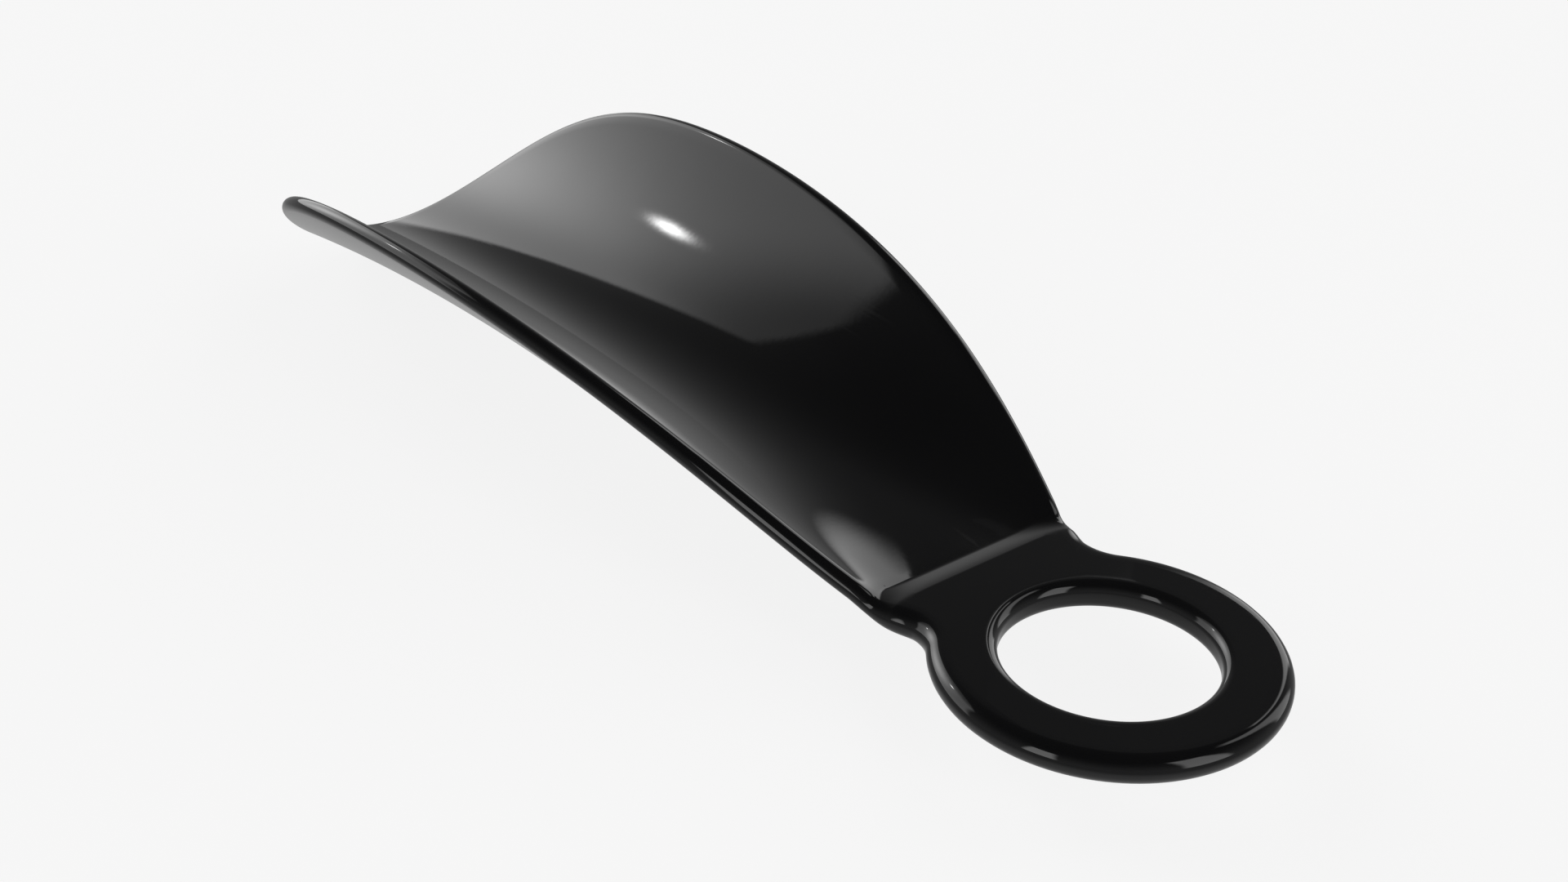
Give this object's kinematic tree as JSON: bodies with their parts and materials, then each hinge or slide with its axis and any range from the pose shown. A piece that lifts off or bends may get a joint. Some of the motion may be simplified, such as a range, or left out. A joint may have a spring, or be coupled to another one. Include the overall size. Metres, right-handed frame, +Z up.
{
  "type": "shoehorn",
  "caption": "Short gloss plastic shoehorn moulded in one piece, with a flat ring to hold or hang it by and a deep concave blade.",
  "frame": {"origin": "centre of the ring's hole, halfway through the ring's thickness", "axes": "+X along the blade towards its tip, +Y towards one rim, +Z up out of the trough"},
  "size_m": [0.1545, 0.0524, 0.0229],
  "materials": {
    "gloss_black_plastic": "polished injection-moulded black plastic, almost mirror-like, with a very faint flow ripple"
  },
  "bodies": {
    "root": {"shoehorn": "gloss_black_plastic"}
  },
  "joints": []
}
